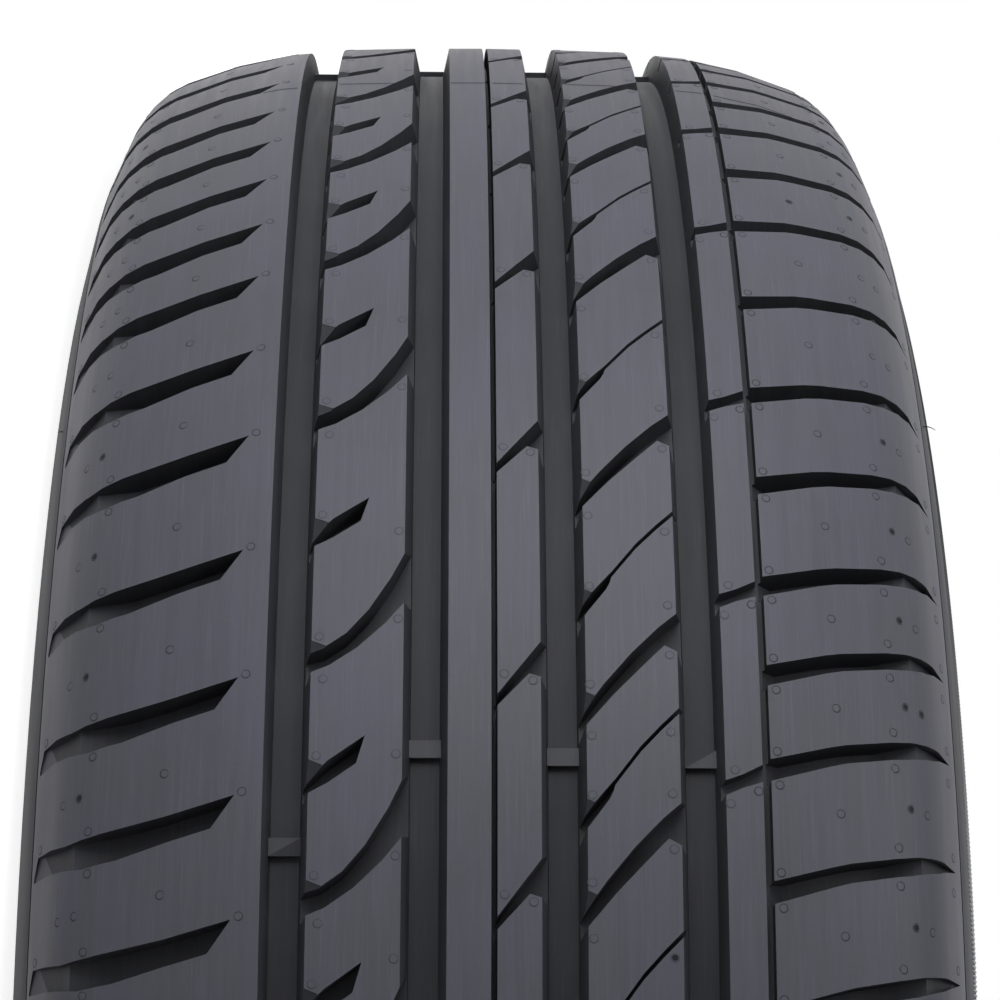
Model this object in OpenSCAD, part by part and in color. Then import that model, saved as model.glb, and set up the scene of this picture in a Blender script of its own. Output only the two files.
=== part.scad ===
// Passenger car tyre, size 205/55 R16, off the wheel and without air.
// One moulded piece, hollow inside, open towards the rim between its two beads.
// Frame: the wheel axis is Z and the origin is the tyre's centre.
// Places across the tread are along Z, minus towards the sidewall it lies on.
// Places round the tread are angles that grow clockwise, seen from above.

/* [Size] */
// Outer diameter over the middle of the tread
tyre_d = 631.9; // [628:0.1:636]
// Widest part of the section, sidewall to sidewall
section_w = 214; // [212:0.5:220]
// Diameter of the seats that grip the rim
seat_d = 405.6; // [404:0.1:408]
// Outer face of one bead to the outer face of the other
bead_span = 165; // [158:0.5:168]

/* [Section outside] */
// Radius of the flat middle of the tread
crown_r = 1060; // [800:10:1400]
// Half width of the flat middle
crown_half = 40; // [36:0.5:44]
// Radius of the tread next to the shoulders
edge_r = 130; // [115:1:160]
// How far in from the widest place the shoulder rounding starts
shoulder_in = 22.7; // [21:0.1:26]
// Radius of the shoulder rounding
shoulder_r = 24; // [20:0.5:26]
// Height of the rim flange, from the seat to where the sidewall leaves it
flange_h = 17; // [15:0.5:20]
// How far the sidewall stands out beyond the bead at the flange
flange_lip = 3; // [1:0.5:5]
// Radius between the seat and the outer face of the bead
heel_r = 6; // [4:0.5:8]
// Width of the flat seat of one bead
seat_w = 11; // [8:0.5:13]

/* [Wall] */
// Rubber and belts under the middle of the tread, tread included
crown_wall = 16.5; // [14:0.5:20]
// Wall inside the shoulder rounding
shoulder_wall = 17; // [14:0.5:20]
// Sidewall at its widest place
side_wall = 7.5; // [6:0.5:10]
// Wall over the bead, beside the rim flange
apex_wall = 13; // [10:0.5:15]
// How far in from the widest place a fine line parts the tread from the sidewall
edge_line_in = 6; // [4:0.1:6.3]
// Width and depth of that line and of the fitting line by the rim
line_w = 0.6; // [0.4:0.1:1.2]
// Height of the fitting line over the seat
fitting_h = 27; // [24:0.5:32]

/* [Long grooves] */
// Width of a main groove at the tread surface
groove_w = 9.6; // [8:0.1:11]
// Depth of a main groove
groove_depth = 7.9; // [6:0.1:8.5]
// How far each wall of a main groove leans in towards its floor
groove_draft = 1.7; // [0.5:0.1:2.5]
// Centre of one main groove to the centre of the next
groove_pitch = 29.4; // [28:0.1:30]
// Middle of the groove pattern, off the middle of the tyre
pattern_off = -1.3; // [-3:0.1:1]
// Width of the fine groove that halves the middle rib
hairline_w = 1.3; // [0.8:0.1:2]
// Width of the narrow rib between the right main groove and the fine groove beside it
rib5_w = 7.9; // [7:0.1:9]
// Width of the fine groove beside the right shoulder
rim_groove_w = 1.8; // [1:0.1:2.5]
// Depth of the fine groove that halves the middle rib
hairline_depth = 5.5; // [3:0.1:7]

/* [Cross grooves] */
// Depth of the grooves that run across the ribs
cross_depth = 6.5; // [4:0.1:7.5]
// Depth of the fine groove beside the right shoulder and of all that runs into it
shallow_depth = 2.8; // [1.5:0.1:4]
// How far in from the widest place the shoulder grooves end
shoulder_end_in = 6.6; // [6.3:0.1:8]
// How far in from the widest place they stop being deep
deep_end_in = 24; // [21:0.1:27]
// How far in from the widest place they become shallow pockets
pocket_in = 16; // [13:0.1:18]
// Depth of a pocket at its inner end
pocket_depth = 1.2; // [0.8:0.1:2]
// Rubber between the left main groove and the tips of the left shoulder grooves
tip_gap = 5.8; // [4:0.1:8]
// Width of the ramp from that groove down into each right shoulder groove
sill_w = 3.4; // [2:0.1:6]
// Width of the fine cuts in the right middle rib
sipe_w = 0.8; // [0.5:0.1:1.2]
// How deep the sloped corners of the blocks reach into the main grooves
facet_drop = 3; // [2:0.1:4]

/* [Pitches] */
// Order of the short, middle and long pitches round the tyre
pitch_order = "MSMLMSSMLLMSMSMLSMSSMLLMSMSMLMSSMMLSMS"; // mould order
// Length of a middle pitch against a short one
pitch_middle = 1.226; // [1.1:0.001:1.3]
// Length of a long pitch against a short one
pitch_long = 1.444; // [1.3:0.001:1.5]
// Angle at which the first pitch starts
first_pitch = 4.4; // [0:0.1:9]

/* [Wear bars] */
// Height of a wear bar over the floor of its groove
bar_h = 1.6; // [1.6:0.1:2.5]
// Length of a wear bar round the tyre
bar_l = 4; // [3:0.1:8]
// Rows of wear bars round the tyre
bar_rows = 6; // [6:1:8]
// Angle of the first row
bar_at = 14.6; // [0:0.1:40]
// How far the bar of each main groove sits before its row, from left to right
bar_lags = [3.8, -0.2, 0.1, 0.1]; // [-5:0.1:5]

/* [Hidden] */
$fn = 180;
rubber = [0.13, 0.13, 0.145];

tread_r = tyre_d / 2;
seat_r = seat_d / 2;
clear = 6;
widest = section_w / 2;
edge_half = widest - shoulder_in;
edge_line_at = widest - edge_line_in;
shoulder_slope = 60;
fine_draft = 0.3;
toe_h = 7;
toe_lean = 1;
tread_body = 45;
// Depth of the shoulder pockets where they end, and of the ledges at the fine groove
run_out = 0.2;
// How far a wear bar is sunk into the floor and walls of its groove
bar_root = 0.3;

// Angles of the surface to the axis, where the arcs of the section meet
crown_slope = asin(crown_half / crown_r);
edge_slope = asin(sin(crown_slope) + (edge_half - crown_half) / edge_r);

// Points of an arc of radius r from [z, radius, slope] on, up to slope to
function arc(from, r, to, steps) = [for (i = [1 : steps])
    let (a = from[2] + (to - from[2]) * i / steps)
    [from[0] + r * (sin(a) - sin(from[2])),
     from[1] - r * (cos(from[2]) - cos(a)),
     a]];
function last(list) = list[len(list) - 1];

crown_arc = arc([0, tread_r, 0], crown_r, crown_slope, 2);
edge_arc = arc(last(crown_arc), edge_r, edge_slope, 3);
shoulder_arc = arc(last(edge_arc), shoulder_r, shoulder_slope, 3);
upper_from = last(shoulder_arc);
upper_r = (widest - upper_from[0]) / (1 - sin(shoulder_slope));
upper_arc = arc(upper_from, upper_r, 90, 3);
lower_from = last(upper_arc);
flange_at = [bead_span / 2 + flange_lip, seat_r + flange_h];
lower_turn = 2 * atan((lower_from[0] - flange_at[0]) / (lower_from[1] - flange_at[1]));
lower_r = (lower_from[1] - flange_at[1]) / sin(lower_turn);
lower_arc = arc(lower_from, lower_r, 90 + lower_turn, 6);
outside = concat([[0, tread_r, 0]], crown_arc, edge_arc, shoulder_arc, upper_arc, lower_arc);

// Radius and slope of the tread surface at a distance z from the middle
surface = [for (p = outside) if (p[2] <= 90) [p[0], p[1]]];
slopes = [for (p = outside) if (p[2] <= 90) [p[0], p[2]]];
function tread_at(z) = lookup(abs(z), surface);
function slope_at(z) = lookup(abs(z), slopes);
// Half width of the lower sidewall at a radius
sidewall = [for (p = outside) if (p[2] >= 90) [-p[1], p[0]]];
function side_at(r) = lookup(-r, sidewall);

// Wall thickness at a slope of the outside
walls = [[0, crown_wall], [edge_slope, shoulder_wall], [shoulder_slope, (shoulder_wall + side_wall) / 2],
         [90, side_wall], [90 + lower_turn, apex_wall]];
inside = [for (p = outside) let (t = lookup(p[2], walls))
    [p[0] - t * sin(p[2]), p[1] - t * cos(p[2])]];

bead_face = bead_span / 2;
seat_end = bead_face - heel_r - seat_w;
heel = [for (a = [0 : 15 : 90]) [bead_face - heel_r + heel_r * cos(a), seat_r + heel_r - heel_r * sin(a)]];

// Section as [radius, z], from its peak in the middle rib's fine groove round one bead and back inside,
// then round the other side
half_section = concat(
    [for (i = [1 : len(outside) - 1]) [outside[i][1], outside[i][0]]],
    [[seat_r + flange_h - flange_lip, bead_face]],
    [for (p = heel) [p[1], p[0]]],
    [[seat_r, seat_end], [seat_r + toe_h, seat_end - toe_lean]],
    [for (i = [len(inside) - 1 : -1 : 1]) [inside[i][1], inside[i][0]]]);
function back(list) = [for (i = [len(list) - 1 : -1 : 0]) list[i]];
section = concat([[tread_r, pattern_off]], half_section, [for (p = back(half_section)) [p[0], -p[1]]]);

// Outline of a long groove, in the section
module long_groove(at, w, depth, draft) {
    r = tread_at(at);
    polygon([[r + clear, at - w / 2 - draft * clear / depth], [r - depth, at - w / 2 + draft],
             [r - depth, at + w / 2 - draft], [r + clear, at + w / 2 + draft * clear / depth]]);
}

main_grooves = [for (i = [-1.5 : 1 : 1.5]) pattern_off + i * groove_pitch];
rim_groove_at = last(main_grooves) + groove_w / 2 + rib5_w + rim_groove_w / 2;

// Outline of a fine line round a sidewall, a square on its corner
module fine_line(r, at) translate([r, at]) rotate(45) square(line_w, center = true);
fitting_r = seat_r + fitting_h;

module casing() rotate_extrude() difference() {
    polygon(section);
    for (at = main_grooves) long_groove(at, groove_w, groove_depth, groove_draft);
    long_groove(pattern_off, hairline_w, hairline_depth, fine_draft);
    long_groove(rim_groove_at, rim_groove_w, shallow_depth, fine_draft);
    for (side = [-1, 1]) {
        fine_line(tread_at(edge_line_at), side * edge_line_at);
        fine_line(fitting_r, side * side_at(fitting_r));
    }
}

// Starts of the pitches, as angles round the tyre
function pitch_size(i) = pitch_order[i] == "S" ? 1 : pitch_order[i] == "M" ? pitch_middle : pitch_long;
pitch_count = len(pitch_order);
pitch_sizes = [for (i = [0 : pitch_count - 1]) pitch_size(i)];
function total(list, n) = n == 0 ? 0 : list[n - 1] + total(list, n - 1);
short_pitch = 360 / total(pitch_sizes, pitch_count);
whole_starts = [for (i = [0 : pitch_count - 1]) first_pitch + short_pitch * total(pitch_sizes, i)];
half_starts = [for (i = [0 : pitch_count - 1]) whole_starts[i] + short_pitch * pitch_sizes[i] / 2];

// Sets children on the tread: x along the axis, y round the tread, z outwards
module on_tread(at) rotate([180, 0, -90 - at]) rotate([0, 90, 0]) children();
function angle_of(s) = s / tread_r * 180 / PI;

// Straight plugs of an outline, down to a flat floor, each set square over the middle of its outline
module plugs(starts, outline, floor_r) {
    rounds = [for (p = outline) p[1]];
    middle = (max(rounds) + min(rounds)) / 2;
    for (at = starts) on_tread(at + angle_of(middle)) translate([0, -middle, floor_r])
        linear_extrude(height = tread_r + clear - floor_r) polygon(outline);
}

// Ring outwards from the floor of the shoulder grooves, through stops of half width and depth
function sunk(z, depth) = [tread_at(z) - depth * cos(slope_at(z)), abs(z) - depth * sin(slope_at(z))];
module floor_ring(side, stops) {
    path = [for (stop = stops) sunk(stop[0], stop[1])];
    top = tread_r + 2 * clear;
    ring = concat([[top, path[0][1]]], path, [[top, last(path)[1]]]);
    rotate_extrude() polygon([for (p = ring) [p[0], side * p[1]]]);
}

// Ribs between the main grooves, as the places of their two edges
function rib_from(i) = main_grooves[i] + groove_w / 2;
function rib_to(i) = main_grooves[i + 1] - groove_w / 2;

// Outlines of the cuts across a rib: 0 to 1 across it, then millimetres round the tread
function across(from, to, cuts) = [for (p = cuts) [from + (to - from) * p[0], p[1]]];
function bend(rise, slope, curl, steps) = [for (i = [0 : steps]) let (t = 1.2 * i / steps - 0.1)
    [t, rise + slope * t + curl * t * t]];

// Second rib: a curved cut that widens to the right, and a short notch
rib2_cut = across(rib_from(0), rib_to(0), concat(bend(3.9, 4.2, 19.7, 5), back(bend(-1.2, 7.5, 9.2, 4))));
rib2_notch = across(rib_from(0), rib_to(0),
    [[-0.1, -11.8], [0.21, -5.6], [0.6, 0], [0.51, -6.3], [0.21, -10.6], [-0.1, -14]]);
// Right half of the middle rib: a cut with one block corner taken off
rib3_cut = across(pattern_off + hairline_w / 2, rib_to(1),
    [[-0.08, -0.8], [1.2, 15], [1.2, 3.6], [1.04, 4.1], [0.73, 5], [-0.08, -3.3]]);
// Fourth rib: a wide cut with one corner off, and a fine cut with a wide mouth
rib4_cut = across(rib_from(2), rib_to(2), concat(bend(3.5, 28.5, -5.9, 4),
    [[1.1, 15.6], [0.97, 17], [0.86, 18.2], [0.6, 12.8], [0.3, 6.4], [-0.1, -3.1]]));
sipe_path = [[0.3, 10.4], [0.58, 17.9], [0.8, 22.7], [1.1, 28.7]];
sipe_slope = 51;
sipe_rise = sipe_w / 2 / cos(sipe_slope);
rib4_sipe = across(rib_from(2), rib_to(2), concat([[-0.1, 1.6], [0.28, 10.6]],
    [for (p = sipe_path) [p[0], p[1] + sipe_rise]], [for (p = back(sipe_path)) [p[0], p[1] - sipe_rise]],
    [[0.28, 8.4], [0.24, 6.7], [-0.1, -2.6]]));
// Narrow right rib: a shallow cut from its main groove to the fine groove
rib5_cut = across(rib_from(3), rim_groove_at,
    [[-0.1, -0.3], [0.4, 1.4], [1, 4.2], [1, 0.2], [0.4, -1.6], [-0.1, -3.7]]);
// Shoulder grooves, 0 to 1 from their inner start to the outer end of their pockets
left_tip = groove_w / 2 + tip_gap - main_grooves[0];
shoulder_end = widest - shoulder_end_in;
deep_end = widest - deep_end_in;
pocket_from = widest - pocket_in;
left_cut = across(-left_tip, -shoulder_end, [[0, 0], [0.32, -3.8], [0.67, -6.6], [0.82, -7.7],
    [0.977, -6.9], [1, -12.1], [0.73, -13.6], [0.56, -12.5], [0.11, -7.1]]);
right_cut = across(rim_groove_at, shoulder_end, [[0, 0], [0.4, 5.1], [0.764, 8.2], [0.875, 8.8],
    [0.975, 8.3], [0.86, 5.8], [0.72, 3.9], [0.4, 0.9], [0, -4.9]]);

// Places of the cuts round the tyre, in millimetres against the right shoulder grooves
left_shift = -79.6;
rib2_shift = -78;
notch_shift = -66.7;
rib3_shift = -57.3;
rib4_shift = -36.4;
sipe_shift = -38.3;
rib5_shift = -5;
function moved(starts, s) = [for (at = starts) at + angle_of(s)];
left_starts = moved(concat(whole_starts, half_starts), left_shift);
right_starts = concat(whole_starts, half_starts);

// Floor of the cuts across a rib, at the middle of the rib
function cut_floor(from, to) = tread_at((from + to) / 2) - cross_depth;

// Sloped corners of blocks beside a cut, each [place from the rib's edge, place round, width, length]
rib2_facet = [1.7, 5.9, 3.8, 5.9];
notch_facet = [1.5, -6, 3.2, 5.2];
rib4_facet = [0.9, 6.5, 2.5, 5];
sipe_facet = [0.9, 6.2, 2.5, 4.8];
facet_turn = -113;
facet_side = [[0, 0], [1, -facet_drop], [1, clear], [0, clear]];
module facets(starts, edge, facet) for (at = starts) on_tread(at + angle_of(facet[1]))
    translate([edge + facet[0], 0, tread_at(edge)]) rotate([0, 0, facet_turn])
        translate([0, facet[2] / 2, 0]) rotate([90, 0, 0])
            linear_extrude(height = facet[2] + 2 * groove_draft)
                polygon([for (p = facet_side) [facet[3] * p[0], p[1]]]);

module shoulder_grooves() {
    deep_middle = [(left_tip + deep_end) / 2, cross_depth];
    ends = [deep_middle, [deep_end, cross_depth], [pocket_from, pocket_depth], [shoulder_end, run_out]];
    intersection() {
        floor_ring(-1, concat([[left_tip - 1, cross_depth]], ends));
        plugs(left_starts, left_cut, tread_r - tread_body);
    }
    sill = [[rim_groove_at, shallow_depth - run_out],
            [rim_groove_at + rim_groove_w / 2 + sill_w, cross_depth]];
    intersection() {
        floor_ring(1, concat(sill, ends));
        plugs(right_starts, right_cut, tread_r - tread_body);
    }
}

module rib_cuts() {
    floor2 = cut_floor(rib_from(0), rib_to(0));
    plugs(moved(whole_starts, rib2_shift), rib2_cut, floor2);
    facets(moved(whole_starts, rib2_shift), rib_from(0), rib2_facet);
    plugs(moved(half_starts, notch_shift), rib2_notch, floor2);
    facets(moved(half_starts, notch_shift), rib_from(0), notch_facet);
    plugs(moved(half_starts, rib3_shift), rib3_cut, cut_floor(rib_from(1), rib_to(1)));
    floor4 = cut_floor(rib_from(2), rib_to(2));
    plugs(moved(whole_starts, rib4_shift), rib4_cut, floor4);
    facets(moved(whole_starts, rib4_shift), rib_from(2), rib4_facet);
    plugs(moved(half_starts, sipe_shift), rib4_sipe, floor4);
    facets(moved(half_starts, sipe_shift), rib_from(2), sipe_facet);
    plugs(moved(whole_starts, rib5_shift), rib5_cut, tread_at(rim_groove_at) - shallow_depth + run_out);
}

module wear_bars() for (i = [0 : bar_rows - 1], g = [0 : len(main_grooves) - 1]) {
    w = groove_w - 2 * groove_draft + 2 * bar_root;
    floor_r = tread_at(main_grooves[g]) - groove_depth;
    on_tread(bar_at - bar_lags[g] + i * 360 / bar_rows)
        translate([main_grooves[g] - w / 2, -bar_l / 2, floor_r - bar_root])
            cube([w, bar_l, bar_root + bar_h]);
}

module tyre() color(rubber) {
    difference() {
        casing();
        shoulder_grooves();
        rib_cuts();
    }
    wear_bars();
}

tyre();
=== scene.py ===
import math
import random

import bmesh
import bpy
from mathutils import Matrix, Vector
from mathutils.bvhtree import BVHTree

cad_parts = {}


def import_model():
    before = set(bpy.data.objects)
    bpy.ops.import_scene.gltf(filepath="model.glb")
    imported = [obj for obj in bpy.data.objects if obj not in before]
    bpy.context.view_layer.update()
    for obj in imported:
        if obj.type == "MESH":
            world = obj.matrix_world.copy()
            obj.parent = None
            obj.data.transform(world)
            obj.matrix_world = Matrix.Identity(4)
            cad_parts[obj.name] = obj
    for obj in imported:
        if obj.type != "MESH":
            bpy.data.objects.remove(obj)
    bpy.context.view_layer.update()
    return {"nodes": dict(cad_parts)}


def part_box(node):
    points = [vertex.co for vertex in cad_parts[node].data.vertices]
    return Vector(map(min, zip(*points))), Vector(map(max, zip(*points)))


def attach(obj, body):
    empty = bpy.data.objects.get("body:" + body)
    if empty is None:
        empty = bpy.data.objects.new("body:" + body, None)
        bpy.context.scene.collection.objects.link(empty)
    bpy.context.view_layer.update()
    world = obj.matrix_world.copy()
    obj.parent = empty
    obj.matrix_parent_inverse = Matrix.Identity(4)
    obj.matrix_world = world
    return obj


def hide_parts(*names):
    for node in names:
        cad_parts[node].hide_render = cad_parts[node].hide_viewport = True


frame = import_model()

TYRE = frame["nodes"]["tyre"]
LOW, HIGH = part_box("tyre")
MM = 0.001

# Outer surface of the section: radius of each arc, and how far from the middle it ends
TREAD_R = HIGH[0]
HALF_W = HIGH[2]
CROWN_R, CROWN_HALF = 1.060, 0.040
EDGE_R, EDGE_HALF = 0.130, 0.0843
SHOULDER_R, SHOULDER_SLOPE = 0.024, math.radians(60)

# Pitches of the tread, as in the source
PITCH_ORDER = "MSMLMSSMLLMSMSMLSMSSMLLMSMSMLMSSMMLSMS"
PITCH_SIZES = {"S": 1, "M": 1.226, "L": 1.444}
FIRST_PITCH = math.radians(4.4)

# How far round the tread, in millimetres, the cuts of each rib start from their pitch
LEFT_SHIFT, RIB2_SHIFT, NOTCH_SHIFT, RIB3_SHIFT = -79.6, -78, -66.7, -57.3
RIB4_SHIFT, SIPE_SHIFT, RIB5_SHIFT = -36.4, -38.3, -5

# Places of the vent marks, in millimetres: across the tread, then round it from the start of a cut
WHOLE_VENTS = (
    (-22.1, RIB2_SHIFT + 34), (-38.9, RIB2_SHIFT + 7.5), (-37.9, RIB2_SHIFT - 2.6),
    (-22, RIB2_SHIFT + 11.7),
    (19.1, RIB4_SHIFT + 8.6), (19.3, RIB4_SHIFT - 3.2), (36.3, RIB4_SHIFT + 15.9), (36.2, RIB4_SHIFT + 28),
    (54.5, RIB5_SHIFT - 2.2), (49.6, RIB5_SHIFT + 2.4), (48.5, RIB5_SHIFT - 5.2),
)
HALF_VENTS = (
    (-38.9, NOTCH_SHIFT - 4.6), (0.8, RIB3_SHIFT + 4.8), (6.9, RIB3_SHIFT + 3.3),
    (19.3, SIPE_SHIFT + 7.4), (36.1, SIPE_SHIFT + 21.8),
)
# On the shoulders: across, then round from the block's own groove, from the next one, or from between them
LEFT_OWN = ((-54.4, 0.7), (-87.3, -5.4), (-99.2, -5.3))
LEFT_NEXT = ((-87.1, -15),)
LEFT_MIDDLE = ((-71.1, -7.6), (-89.6, -10.7), (-93.4, -11.3))
RIGHT_OWN = ((58.8, 2.1), (84.8, 9.8), (99, 12.2))
RIGHT_NEXT = ((59.1, -5.5), (84.8, 1.2), (98.7, 3.6))
RIGHT_MIDDLE = ((72.2, 2.6), (88.1, 5.8), (92, 5.4))
# How much of the way from the block's own groove to the next each of those starts
OWN_SHARE, NEXT_SHARE, MIDDLE_SHARE = 0, 0.5, 0.25

# Materials of a vent mark: the plain button, then the ring, hole and faint ring, all three painted shade
BUTTON, RING_SHADE, HOLE_SHADE, FAINT_RING_SHADE = range(4)
# Its rings, in millimetres: radius, height over the rubber, and whether the band to the next ring is dark
# with painted shade
VENT_RINGS = (
    (0.7, 0.06, False), (0.8, 0.06, True), (0.92, 0.02, True), (1.04, 0.07, False), (1.13, -0.08, False),
)
VENT_SIDES = 12
VENT_RADIUS = 1.12
VENT_TOP = 0.06
# Share of the marks whose middle is painted dark as the shade of an open hole, in general and in the outer
# row of each shoulder
OPEN_SHARE, OUTER_OPEN_SHARE = 0.03, 0.6
OUTER_FROM, OUTER_TO = 0.0878, 0.0902
# The rings' painted shade is faint on the ribs, up to this far from the middle
FAINT_WITHIN = 0.05


def arcs():
    """Start, sine of the slope and radius of each arc, from the middle of the tread to the widest place"""
    crown = CROWN_HALF / CROWN_R
    edge = crown + (EDGE_HALF - CROWN_HALF) / EDGE_R
    shoulder = math.sin(SHOULDER_SLOPE)
    side_from = EDGE_HALF + SHOULDER_R * (shoulder - edge)
    side_r = (HALF_W - side_from) / (1 - shoulder)
    return ((0, 0, CROWN_R), (CROWN_HALF, crown, EDGE_R), (EDGE_HALF, edge, SHOULDER_R),
            (side_from, shoulder, side_r))


ARCS = arcs()


def surface(z):
    """Radius and slope of the outer surface at a distance z from the middle"""
    z, r = abs(z), TREAD_R
    ends = [arc[0] for arc in ARCS[1:]] + [HALF_W]
    for (start, sine, own_r), end in zip(ARCS, ends):
        to = min(1, sine + (min(z, end) - start) / own_r)
        r -= own_r * (math.sqrt(1 - sine ** 2) - math.sqrt(1 - to ** 2))
        if z <= end:
            break
    return r, math.asin(to)


def outward(z, turn):
    """Normal of the outer surface; turn grows clockwise, seen from above"""
    theta = -math.pi / 2 - turn
    slope = surface(z)[1]
    return Vector((math.cos(theta) * math.cos(slope), math.sin(theta) * math.cos(slope),
                   math.copysign(math.sin(slope), z)))


def point(z, turn):
    theta = -math.pi / 2 - turn
    r = surface(z)[0]
    return Vector((r * math.cos(theta), r * math.sin(theta), z))


def turn_of(length):
    """Angle of a length in millimetres round the tread"""
    return length * MM / TREAD_R


def pitches():
    """Starts of the whole and half pitches, with the angle of one pitch each"""
    sizes = [PITCH_SIZES[c] for c in PITCH_ORDER]
    unit = 2 * math.pi / sum(sizes)
    at, whole, half = FIRST_PITCH, [], []
    for size in sizes:
        whole.append((at, size * unit))
        half.append((at + size * unit / 2, size * unit))
        at += size * unit
    return whole, half


# Materials of the moulding; the darker groove one is partly a different finish and partly painted shade in
# the grooves
TOP, GROOVE, SIDE, LINER, BAR = range(5)
# A face belongs to the outer arcs where it faces as they do and lies within SKIN of them; the floors of the
# pockets are those within POCKET_DEEP, and the wear bars those near BAR_DEEP in a main groove
SMOOTH_WITHIN = math.cos(math.radians(12))
SKIN, POCKET_DEEP = 0.35 * MM, 1.5 * MM
BAR_DEEP, BAR_WITHIN = 6.3 * MM, 0.12 * MM
MAIN_GROOVES, MAIN_HALF = (-0.0454, -0.016, 0.0134, 0.0428), 0.005
# Where the slope is steep, depth is not shortened by more than this
LEAST_SLOPE = 0.2
# How deep and how far across the tread reaches, and which way the outside faces below it
TREAD_DEEP = 0.012
SHOULDER_END = 0.101
OUTSIDE_RADIAL, OUTSIDE_ALONG = 0.05, 0.3
# Edges sharper than this stay sharp; points closer than WELD are joined
CREASE = math.radians(24)
WELD = 0.01 * MM


def material_of(face):
    """Which material a face has, the darker groove one being partly painted shade, and whether it belongs
    to the round outer surface
    """
    c = face.calc_center_median()
    r = math.hypot(c.x, c.y)
    z = max(-HALF_W, min(HALF_W, c.z))
    radius, slope = surface(z)
    radial = (face.normal.x * c.x + face.normal.y * c.y) / r
    along = face.normal.z * math.copysign(1, c.z)
    facing = radial * math.cos(slope) + along * math.sin(slope)
    depth = abs(r - radius) * max(math.cos(slope), LEAST_SLOPE)
    outer = facing > SMOOTH_WITHIN and depth < SKIN
    pocket = facing > SMOOTH_WITHIN and depth < POCKET_DEEP
    in_groove = any(abs(c.z - groove) < MAIN_HALF for groove in MAIN_GROOVES)
    if in_groove and abs(depth - BAR_DEEP) < BAR_WITHIN and facing > SMOOTH_WITHIN:
        return BAR, False
    # Faces sunk deeper than the pockets in the tread get the darker groove rubber: partly a different
    # finish, partly painted shade
    if abs(c.z) < SHOULDER_END and r > radius - TREAD_DEEP:
        return (TOP if outer or pocket else GROOVE), outer
    if radial > OUTSIDE_RADIAL or along > OUTSIDE_ALONG:
        return SIDE, outer
    return LINER, False


def dressed(materials):
    """The moulding itself, with smooth shading round its curves and its faces sorted by material, the
    grooves' darker one partly painted shade
    """
    mesh = bpy.data.meshes.new("tyre_moulding")
    bm = bmesh.new()
    bm.from_mesh(TYRE.data)
    bmesh.ops.remove_doubles(bm, verts=bm.verts, dist=WELD)
    bm.normal_update()
    round_faces = []
    for face in bm.faces:
        face.smooth = True
        face.material_index, outer = material_of(face)
        round_faces.append(outer)
    for edge in bm.edges:
        edge.smooth = len(edge.link_faces) == 2 and edge.calc_face_angle(0) < CREASE
    bm.to_mesh(mesh)
    bm.free()
    for mat in materials:
        mesh.materials.append(mat)
    mesh.update()
    normals = [Vector(n.vector) for n in mesh.corner_normals]
    for poly, outer in zip(mesh.polygons, round_faces):
        if not outer:
            continue
        for i in poly.loop_indices:
            co = mesh.vertices[mesh.loops[i].vertex_index].co
            z = max(-HALF_W, min(HALF_W, co.z))
            turn = -math.pi / 2 - math.atan2(co.y, co.x)
            normals[i] = outward(z, turn)
    mesh.normals_split_custom_set(normals)
    obj = bpy.data.objects.new("tyre_moulding", mesh)
    bpy.context.collection.objects.link(obj)
    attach(obj, "root")
    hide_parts("tyre")
    return obj


# How far off a ray starts, how far the moulding may lie under its arcs, and how many points of the rim
# of a mark are tested
REACH = 20 * MM
LEVEL = 0.45 * MM
SEAT_TESTS = 6


class Surface:
    """The real surface of the moulding, to lay small marks on"""

    def __init__(self, obj):
        self.tree = BVHTree.FromPolygons([v.co for v in obj.data.vertices],
                                         [p.vertices for p in obj.data.polygons])

    def hit(self, start, way):
        place = self.tree.ray_cast(start + way * REACH, -way, 2 * REACH)[0]
        if place is None or (place - start).dot(way) < -LEVEL:
            return None
        return place

    def seat(self, z, turn, radius):
        """A matrix on the surface, or None where a mark of that radius would hang over a groove"""
        way = outward(z, turn)
        place = self.hit(point(z, turn), way)
        if place is None:
            return None
        along = Vector((0, 0, 1))
        u = way.cross(along).normalized()
        v = way.cross(u)
        for k in range(SEAT_TESTS):
            a = 2 * math.pi * k / SEAT_TESTS
            side = place + (u * math.cos(a) + v * math.sin(a)) * radius
            if self.hit(side, way) is None:
                return None
        m = Matrix((u, v, way)).transposed().to_4x4()
        m.translation = place
        return m


def mesh_object(name, verts, faces, mats, indices=None, smooth=True):
    mesh = bpy.data.meshes.new(name)
    mesh.from_pydata(verts, [], faces)
    for mat in mats:
        mesh.materials.append(mat)
    if indices:
        mesh.polygons.foreach_set("material_index", indices)
    mesh.polygons.foreach_set("use_smooth", [smooth] * len(mesh.polygons))
    mesh.update()
    obj = bpy.data.objects.new(name, mesh)
    bpy.context.collection.objects.link(obj)
    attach(obj, "root")
    return obj


LEFT_ROWS = ((OWN_SHARE, LEFT_OWN), (NEXT_SHARE, LEFT_NEXT), (MIDDLE_SHARE, LEFT_MIDDLE))
RIGHT_ROWS = ((OWN_SHARE, RIGHT_OWN), (NEXT_SHARE, RIGHT_NEXT), (MIDDLE_SHARE, RIGHT_MIDDLE))


def vent_places():
    """Place across and turn of every vent mark of the mould"""
    whole, half = pitches()
    for vents, starts in ((WHOLE_VENTS, whole), (HALF_VENTS, half)):
        for at, _ in starts:
            for z, s in vents:
                yield z * MM, at + turn_of(s)
    blocks = whole + half
    for at, size in blocks:
        left = at + turn_of(LEFT_SHIFT)
        for start, rows in ((left, LEFT_ROWS), (at, RIGHT_ROWS)):
            for share, places in rows:
                for z, s in places:
                    yield z * MM, start + size * share + turn_of(s)


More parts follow.
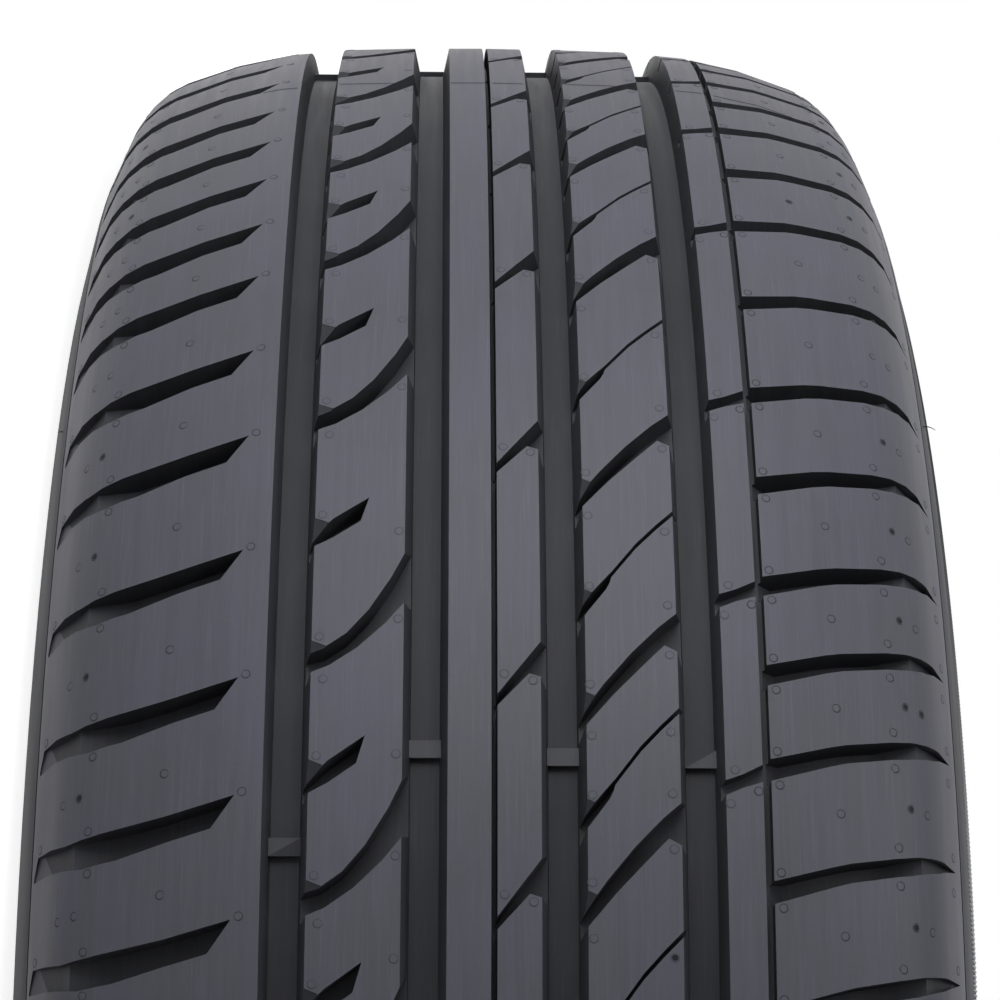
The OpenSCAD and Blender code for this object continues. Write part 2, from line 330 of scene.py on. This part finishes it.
def vents(surf, mats):
    """Small round marks where the mould let the air out, with a sunk ring round a low button; the ring and
    any hole are painted dark as shade
    """
    draw = random.Random(3)
    verts, faces, indices = [], [], []
    for z, turn in vent_places():
        m = surf.seat(z, turn, VENT_RADIUS * MM)
        if m is None:
            continue
        share = OUTER_OPEN_SHARE if OUTER_FROM < abs(z) < OUTER_TO else OPEN_SHARE
        # A dark middle is painted shade of an open vent hole
        middle = HOLE_SHADE if draw.random() < share else BUTTON
        # The sunk ring's dark band is painted shade, fainter on the ribs
        dark = FAINT_RING_SHADE if abs(z) < FAINT_WITHIN else RING_SHADE
        base = len(verts)
        verts.append(m @ Vector((0, 0, VENT_TOP * MM)))
        for radius, height, _ in VENT_RINGS:
            for k in range(VENT_SIDES):
                a = 2 * math.pi * k / VENT_SIDES
                verts.append(m @ (Vector((radius * math.cos(a), radius * math.sin(a), height)) * MM))
        for k in range(VENT_SIDES):
            n = (k + 1) % VENT_SIDES
            faces.append((base, base + 1 + k, base + 1 + n))
            indices.append(middle)
            for ring in range(len(VENT_RINGS) - 1):
                low = base + 1 + ring * VENT_SIDES
                faces.append((low + k, low + VENT_SIDES + k, low + VENT_SIDES + n, low + n))
                indices.append(dark if VENT_RINGS[ring][2] else BUTTON)
    return mesh_object("vent_marks", verts, faces, mats, indices)


# Fine line where two segments of the mould meet
SEGMENT_AT = math.radians(58.3)
SEGMENTS = 6
SEAM_W, SEAM_H, SEAM_STEP = 0.25 * MM, 0.12 * MM, 1.0 * MM


def seams(surf, mats):
    """Low ridges across the tread, broken where a groove is"""
    verts, faces = [], []
    steps = int(2 * SHOULDER_END / SEAM_STEP)
    for i in range(SEGMENTS):
        turn = SEGMENT_AT + i * 2 * math.pi / SEGMENTS
        last = None
        for k in range(steps + 1):
            z = -SHOULDER_END + k * SEAM_STEP
            way = outward(z, turn)
            place = surf.hit(point(z, turn), way)
            if place is None:
                last = None
                continue
            side = way.cross(Vector((0, 0, 1))).normalized() * SEAM_W
            base = len(verts)
            verts += [place - side - way * SEAM_H, place + way * SEAM_H, place + side - way * SEAM_H]
            if last is not None:
                faces += [(last, base, base + 1, last + 1), (last + 1, base + 1, base + 2, last + 2)]
            last = base
    return mesh_object("mould_seams", verts, faces, mats)


# Fine serration of the sidewall beyond the right shoulder
KNURL_COUNT = 1600
KNURL_FROM, KNURL_TO, KNURL_STEPS = 0.1047, 0.1068, 4
KNURL_H, KNURL_FOOT = 0.62 * MM, 0.3 * MM
# Where in its step each tooth peaks and ends
KNURL_PEAK, KNURL_END = 0.35, 0.7


def knurl(mats):
    """Teeth that rise and sink again across the serrated band"""
    verts, faces = [], []
    step = 2 * math.pi / KNURL_COUNT
    rows = KNURL_STEPS + 1
    for i in range(KNURL_COUNT):
        base = len(verts)
        for k in range(rows):
            z = KNURL_FROM + (KNURL_TO - KNURL_FROM) * k / KNURL_STEPS
            rise = KNURL_H * math.sin(math.pi * k / KNURL_STEPS) - KNURL_FOOT
            for part, height in ((0, -KNURL_FOOT), (KNURL_PEAK, rise), (KNURL_END, -KNURL_FOOT)):
                turn = (i + part) * step
                verts.append(point(z, turn) + outward(z, turn) * height)
        for k in range(KNURL_STEPS):
            low = base + 3 * k
            for j in range(2):
                faces.append((low + j, low + j + 1, low + 4 + j, low + 3 + j))
    return mesh_object("shoulder_serration", verts, faces, mats, smooth=False)


# Thin rubber hairs left by the vents of the mould: across, angle, length and droop in millimetres
HAIRS_SEEN = ((102.6, 36.0, 2.7, -2.1), (-102.8, 35.25, 1.2, -0.6))
# The others, drawn at random within these
HAIR_COUNT = 26
HAIR_ACROSS, HAIR_ANGLES, HAIR_LENGTHS, HAIR_DROOPS = (96, 104.5), (85, 350), (1.2, 3.2), (0.2, 0.9)
HAIR_SIDES, HAIR_STEPS = 6, 7
# Radius, how deep a hair is rooted in the rubber, and how much thinner it is at its tip
HAIR_R, HAIR_ROOT, HAIR_TAPER = 0.17, 0.2, 0.6
# Keeps the sides of a hair defined where it runs along its own fall
HAIR_TILT = Vector((0.01, 0.02, 0.03))


def hair_places():
    """Place across, angle, length and droop of every hair"""
    draw = random.Random(5)
    yield from HAIRS_SEEN
    for i in range(HAIR_COUNT):
        z = math.copysign(draw.uniform(*HAIR_ACROSS), i % 2 - 0.5)
        yield z, draw.uniform(*HAIR_ANGLES), draw.uniform(*HAIR_LENGTHS), draw.uniform(*HAIR_DROOPS)


def hairs(mats):
    """Thin tapered hairs that bend towards their fall"""
    verts, faces = [], []
    for z, degrees, length, droop in hair_places():
        turn = math.radians(degrees)
        way = outward(z * MM, turn)
        fall = way.cross(Vector((0, 0, 1))).normalized()
        start = point(z * MM, turn) - way * HAIR_ROOT * MM
        base = len(verts)
        for k in range(HAIR_STEPS):
            t = k / (HAIR_STEPS - 1)
            centre = start + way * length * t * MM + fall * droop * t * t * MM
            along = (way * length + fall * 2 * droop * t).normalized()
            u = along.cross(fall + HAIR_TILT).normalized()
            v = along.cross(u)
            r = HAIR_R * (1 - HAIR_TAPER * t) * MM
            for j in range(HAIR_SIDES):
                a = 2 * math.pi * j / HAIR_SIDES
                verts.append(centre + u * r * math.cos(a) + v * r * math.sin(a))
        for k in range(HAIR_STEPS - 1):
            low = base + k * HAIR_SIDES
            for j in range(HAIR_SIDES):
                n = (j + 1) % HAIR_SIDES
                faces.append((low + j, low + n, low + HAIR_SIDES + n, low + HAIR_SIDES + j))
        faces.append(tuple(range(base, base + HAIR_SIDES))[::-1])
        faces.append(tuple(range(len(verts) - HAIR_SIDES, len(verts))))
    return mesh_object("vent_hairs", verts, faces, mats)


class Nodes:
    """Short form for building the nodes of one material or world"""

    def __init__(self, mat):
        self.tree = mat.node_tree

    def add(self, kind, **inputs):
        n = self.tree.nodes.new(kind)
        for name, value in inputs.items():
            self.put(n, name, value)
        return n

    def put(self, n, name, value):
        """Set or link an input, named or, as in _0, numbered"""
        socket = n.inputs[int(name[1:])] if name[0] == "_" else n.inputs[name.replace("_", " ")]
        if isinstance(value, bpy.types.NodeSocket):
            self.tree.links.new(value, socket)
        else:
            socket.default_value = value

    def noise(self, stretch, detail):
        """Noise in object space; stretch is its scale along X, Y and Z"""
        coords = self.add("ShaderNodeTexCoord").outputs["Object"]
        mapped = self.add("ShaderNodeMapping", Vector=coords, Scale=stretch)
        noise = self.add("ShaderNodeTexNoise", Vector=mapped.outputs[0], Scale=1.0, Detail=detail)
        return noise.outputs["Fac"]

    def spread(self, value, low, high, out_low=0.0, out_high=1.0):
        n = self.add("ShaderNodeMapRange", Value=value)
        for name, v in (("From Min", low), ("From Max", high), ("To Min", out_low), ("To Max", out_high)):
            n.inputs[name].default_value = v
        return n.outputs[0]

    def mix(self, factor, a, b):
        n = self.add("ShaderNodeMix")
        n.data_type = "RGBA"
        for socket, value in ((n.inputs["Factor"], factor), (n.inputs[6], a), (n.inputs[7], b)):
            if isinstance(value, bpy.types.NodeSocket):
                self.tree.links.new(value, socket)
            else:
                socket.default_value = value
        return n.outputs[2]

    def bump(self, height, relief, share, normal=None):
        distance, strength = relief
        n = self.add("ShaderNodeBump", Height=height, Distance=distance, Strength=strength * share)
        if normal is not None:
            self.tree.links.new(normal, n.inputs["Normal"])
        return n.outputs[0]


# Scales of the noises in the rubber, in object space. The streaks run round the tyre, so they are fine
# along Z
BROAD_STREAKS, FINE_STREAKS = (22, 22, 420), (55, 55, 1900)
BLOTCHES, GRAIN = (38, 38, 38), (2600, 2600, 2600)
# Which part of each noise counts, and for the streaks also how strongly
BLOTCH_RANGE, GLOSS_RANGE = (0.35, 0.65), (0.3, 0.7)
BROAD_RANGE, FINE_RANGE = (0.62, 0.38, 0.0, 0.5), (0.55, 0.8, 0.0, 0.7)
# How much streaks darken, lighten and change the gloss, at a strength of 1
DARKEN, LIGHTEN, SMOOTHER, ROUGHER = 0.22, 0.3, 0.07, 0.08
# Depth and strength of each relief
STREAK_RELIEF, GRAIN_RELIEF, BLOTCH_RELIEF = (0.04 * MM, 0.35), (0.05 * MM, 0.5), (0.4 * MM, 0.15)


def rubber(name, colour, cool, roughness, streaks=1.0, grain=1.0, specular=0.5):
    """Moulded rubber: long fine streaks round the tyre, soft blotches and a fine grain"""
    mat = bpy.data.materials.new(name)
    mat.use_nodes = True
    n = Nodes(mat)
    shader = mat.node_tree.nodes["Principled BSDF"]
    broad = n.noise(BROAD_STREAKS, 4.0)
    fine = n.noise(FINE_STREAKS, 2.0)
    patches = n.noise(BLOTCHES, 3.0)
    specks = n.noise(GRAIN, 2.0)
    tone = n.mix(n.spread(patches, *BLOTCH_RANGE), (*colour, 1), (*cool, 1))
    darker = (*(c * (1 - DARKEN * streaks) for c in colour), 1)
    lighter = (*(c * (1 + LIGHTEN * streaks) for c in cool), 1)
    streaked = n.mix(n.spread(broad, *BROAD_RANGE), tone, darker)
    lined = n.mix(n.spread(fine, *FINE_RANGE), streaked, lighter)
    mat.node_tree.links.new(lined, shader.inputs["Base Color"])
    rough = n.spread(broad, *GLOSS_RANGE, roughness - SMOOTHER * streaks, roughness + ROUGHER * streaks)
    mat.node_tree.links.new(rough, shader.inputs["Roughness"])
    relief = n.bump(fine, STREAK_RELIEF, streaks)
    relief = n.bump(specks, GRAIN_RELIEF, grain, relief)
    relief = n.bump(patches, BLOTCH_RELIEF, 1, relief)
    mat.node_tree.links.new(relief, shader.inputs["Normal"])
    shader.inputs["Specular IOR Level"].default_value = specular
    return mat


def camera():
    """The camera of the photo, as worked out from the outline and the grooves of the tyre"""
    data = bpy.data.cameras.new("photo_camera")
    data.lens = 121.92
    data.sensor_width = 36
    obj = bpy.data.objects.new("photo_camera", data)
    forward = Vector((-0.1820352, 0.9830934, 0.0197604))
    right = Vector((-0.0041897, -0.0208714, 0.9997734))
    up = Vector((-0.9832831, -0.1819112, -0.0079182))
    place = Vector((0, -1.0181, -0.0147))
    m = Matrix((right, up, -forward)).transposed().to_4x4()
    m.translation = place
    obj.matrix_world = m
    bpy.context.collection.objects.link(obj)
    bpy.context.scene.camera = obj


def lamp(name, place, aim, size, power):
    """An area lamp at a place, turned to its aim"""
    data = bpy.data.lights.new(name, "AREA")
    data.shape = "RECTANGLE"
    data.size, data.size_y = size
    data.energy = power
    obj = bpy.data.objects.new(name, data)
    obj.location = place
    obj.rotation_euler = (Vector(aim) - Vector(place)).to_track_quat("-Z", "Y").to_euler()
    bpy.context.collection.objects.link(obj)


WORLD_LIGHT = 0.04


def world():
    """White where the camera or a reflection sees it, a soft grey light elsewhere"""
    w = bpy.data.worlds.new("studio")
    bpy.context.scene.world = w
    w.use_nodes = True
    n = Nodes(w)
    outputs = n.add("ShaderNodeLightPath").outputs
    seen = n.add("ShaderNodeMath", _0=outputs["Is Camera Ray"], _1=outputs["Is Transmission Ray"])
    seen.operation = "MAXIMUM"
    both = n.add("ShaderNodeMath", _0=seen.outputs[0], _1=outputs["Is Glossy Ray"])
    both.operation = "MAXIMUM"
    strength = n.spread(both.outputs[0], 0.0, 1.0, WORLD_LIGHT, 1.0)
    back = w.node_tree.nodes["Background"]
    back.inputs["Color"].default_value = (1, 1, 1, 1)
    w.node_tree.links.new(strength, back.inputs["Strength"])


FLOOR_SIZE = 8.0
# How bright the camera sees the unlit floor beside the tyre, and how far off it is fully white
NEAR_GLOW, GLOW_FROM, GLOW_TO = 0.86, 0.4, 1.2


def floor():
    """White floor under the tyre; it shows white to the camera and keeps the tyre's shadow"""
    mat = bpy.data.materials.new("studio_floor")
    mat.use_nodes = True
    shader = mat.node_tree.nodes["Principled BSDF"]
    shader.inputs["Base Color"].default_value = (0.82, 0.82, 0.82, 1)
    shader.inputs["Roughness"].default_value = 0.9
    shader.inputs["Specular IOR Level"].default_value = 0.1
    n = Nodes(mat)
    outputs = n.add("ShaderNodeLightPath").outputs
    place = n.add("ShaderNodeTexCoord").outputs["Object"]
    away = n.add("ShaderNodeVectorMath", _0=place)
    away.operation = "LENGTH"
    glow = n.spread(away.outputs["Value"], GLOW_FROM, GLOW_TO, NEAR_GLOW, 1.0)
    seen = n.add("ShaderNodeMath", _0=outputs["Is Camera Ray"], _1=glow)
    seen.operation = "MULTIPLY"
    mirrored = n.add("ShaderNodeMath", _0=outputs["Is Glossy Ray"], _1=outputs["Is Transmission Ray"])
    mirrored.operation = "MAXIMUM"
    total = n.add("ShaderNodeMath", _0=seen.outputs[0], _1=mirrored.outputs[0])
    total.operation = "MAXIMUM"
    shader.inputs["Emission Color"].default_value = (1, 1, 1, 1)
    mat.node_tree.links.new(total.outputs[0], shader.inputs["Emission Strength"])
    mesh = bpy.data.meshes.new("studio_floor")
    s, z = FLOOR_SIZE / 2, LOW[2]
    mesh.from_pydata([(-s, -s, z), (s, -s, z), (s, s, z), (-s, s, z)], [], [(0, 1, 2, 3)])
    mesh.materials.append(mat)
    obj = bpy.data.objects.new("studio_floor", mesh)
    bpy.context.collection.objects.link(obj)


top = rubber("tread_rubber", (0.078, 0.079, 0.094), (0.083, 0.082, 0.106), 0.45, 0.65, specular=0.14)
# Groove rubber: darker than the tread, partly as a different finish, partly as painted shade in the grooves
groove = rubber("groove_rubber_and_painted_shade", (0.035, 0.036, 0.041), (0.039, 0.04, 0.047), 0.5, 0.8, specular=0.1)
side = rubber("sidewall_rubber", (0.037, 0.038, 0.044), (0.041, 0.042, 0.05), 0.5, 0.4, 1.4, specular=0.05)
liner = rubber("inner_rubber", (0.03, 0.03, 0.033), (0.034, 0.034, 0.037), 0.55, 0.3, 1.2, specular=0.3)
# Painted shade of the sunk vent rings, and fainter on the ribs; the mould seams use the ring rubber too
ring = rubber("vent_ring_rubber", (0.029, 0.029, 0.034), (0.034, 0.034, 0.041), 0.6, 0.2, specular=0.1)
faint = rubber("vent_faint_ring_shade", (0.05, 0.051, 0.06), (0.055, 0.056, 0.068), 0.55, 0.2, specular=0.12)
# Painted shade of an open vent hole
hole = rubber("vent_hole_shade", (0.01, 0.01, 0.012), (0.013, 0.013, 0.016), 0.6, 0.2, specular=0.1)
bar = rubber("wear_bar_rubber", (0.062, 0.063, 0.07), (0.067, 0.068, 0.08), 0.5, 0.4, specular=0.14)
moulding = dressed((top, groove, side, liner, bar))
surf = Surface(moulding)
vents(surf, (top, ring, hole, faint))
seams(surf, (ring,))
knurl((side,))
hairs((side,))

camera()
world()
floor()
lamp("key_light", (-0.49, -0.58, 0.05), (-0.15, -0.28, 0), (0.4, 0.4), 2.3)
lamp("top_light", (-0.8, -0.6, 0.15), (-0.14, -0.28, 0), (0.8, 0.2), 0.25)
lamp("fill_light", (-0.4, -0.8, 0.9), (-0.1, -0.3, 0.05), (0.6, 0.6), 3.8)
lamp("back_light", (0.9, 1.1, 1), (0.15, 0.2, 0), (0.9, 0.9), 30)

bpy.context.scene.view_settings.view_transform = "Standard"
